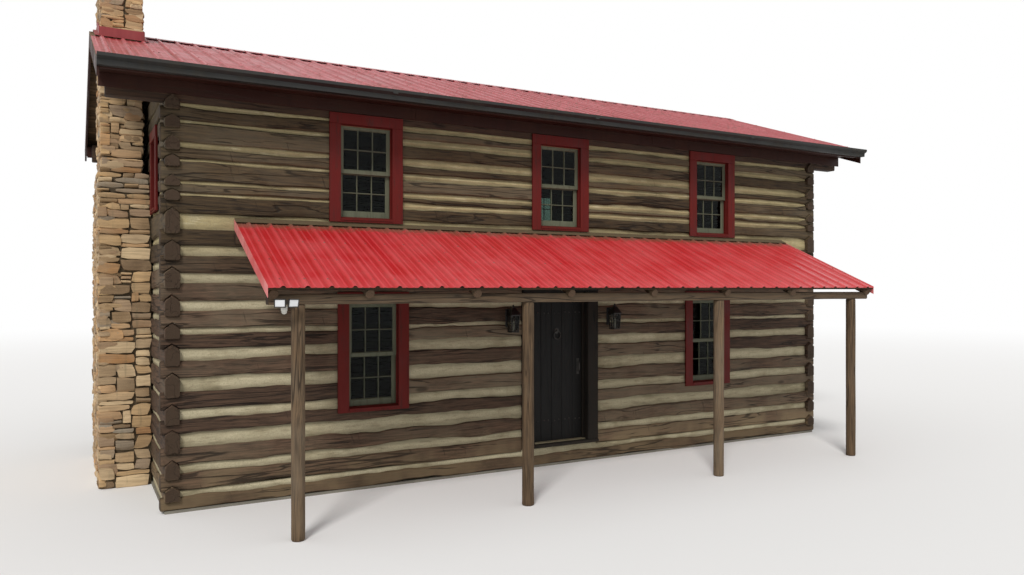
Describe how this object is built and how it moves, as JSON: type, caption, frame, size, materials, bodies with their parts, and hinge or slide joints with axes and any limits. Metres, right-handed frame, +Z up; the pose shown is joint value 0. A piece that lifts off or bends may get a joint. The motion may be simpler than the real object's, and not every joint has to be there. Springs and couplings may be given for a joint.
{
  "type": "log cabin",
  "caption": "Two-storey hewn-log cabin with V-notched corners, red ribbed-metal roofs, a full-width porch on round posts, a stone end chimney and a swinging front door.",
  "frame": {"origin": "middle of the base, on the ground, centred between the ends and between the porch light in front and the rear gutter", "axes": "+X to the right along the front wall seen from in front, +Y from the front to the rear, +Z up"},
  "size_m": [11.22, 7.41, 6.84],
  "materials": {
    "hewn_logs": "weathered hewn logs, dark grey-brown, redder low down",
    "chinking": "tan lime mortar, trowelled",
    "mortar": "grey mortar",
    "dark_timber": "dark stained sawn timber",
    "structural_timber": "aged sawn softwood",
    "floor_boards": "worn floor boards",
    "red_roof_metal": "faded red ribbed sheet",
    "porch_roof_metal": "bright red ribbed sheet",
    "edge_metal": "pale faded edge trim",
    "eave_paint": "dark red-brown paint",
    "gutter_metal": "black enamel",
    "window_trim": "red paint on flat boards",
    "sash_paint": "grey-green paint",
    "window_glass": "clear window glass",
    "door_planks": "nearly black stained planks",
    "wrought_iron": "black iron",
    "porch_poles": "peeled grey poles",
    "fieldstone": "dry-laid flat fieldstone, tan and brown",
    "lantern_metal": "black lantern with frosted panes",
    "light_housing": "grey housing with pale lamp faces"
  },
  "bodies": {
    "cabin": {"barge_boards": "eave_paint", "chimney_base": "fieldstone", "chimney_crown": "mortar", "chimney_flashing": "red_roof_metal", "chimney_stack": "fieldstone", "door_frame": "dark_timber", "eave_boards": "eave_paint", "flood_light": "light_housing", "floor_joists": "structural_timber", "footing": "mortar", "front_chinking": "chinking", "front_logs_left": "hewn_logs", "front_logs_long": "hewn_logs", "front_logs_right": "hewn_logs", "front_window_frames": "window_trim", "gable_window_frames": "window_trim", "ground_floor": "floor_boards", "gutters": "gutter_metal", "left_gable_chinking": "chinking", "left_gable_logs": "hewn_logs", "main_rafters": "structural_timber", "main_roof_front": "red_roof_metal", "main_roof_rear": "red_roof_metal", "porch_beam": "dark_timber", "porch_ledger": "dark_timber", "porch_posts": "porch_poles", "porch_purlins": "structural_timber", "porch_rafters": "porch_poles", "porch_roof": "porch_roof_metal", "porch_trim": "edge_metal", "rear_chinking": "chinking", "rear_logs": "hewn_logs", "rear_window_frames": "window_trim", "ridge_beam": "structural_timber", "ridge_cap": "red_roof_metal", "right_gable_chinking": "chinking", "right_gable_logs": "hewn_logs", "roof_boards": "structural_timber", "upper_floor": "floor_boards", "wall_lanterns": "lantern_metal", "wall_plates": "dark_timber", "window_glass": "window_glass", "window_sashes": "sash_paint"},
    "door": {"front_door": "door_planks", "door_hardware": "wrought_iron"}
  },
  "joints": [
    {"name": "front_door_hinge", "type": "hinge", "parent": "cabin", "child": "door", "pos_m": [-0.424, -1.804, 1.3], "axis": [0, 0, 1], "range_deg": [0, 100]}
  ]
}
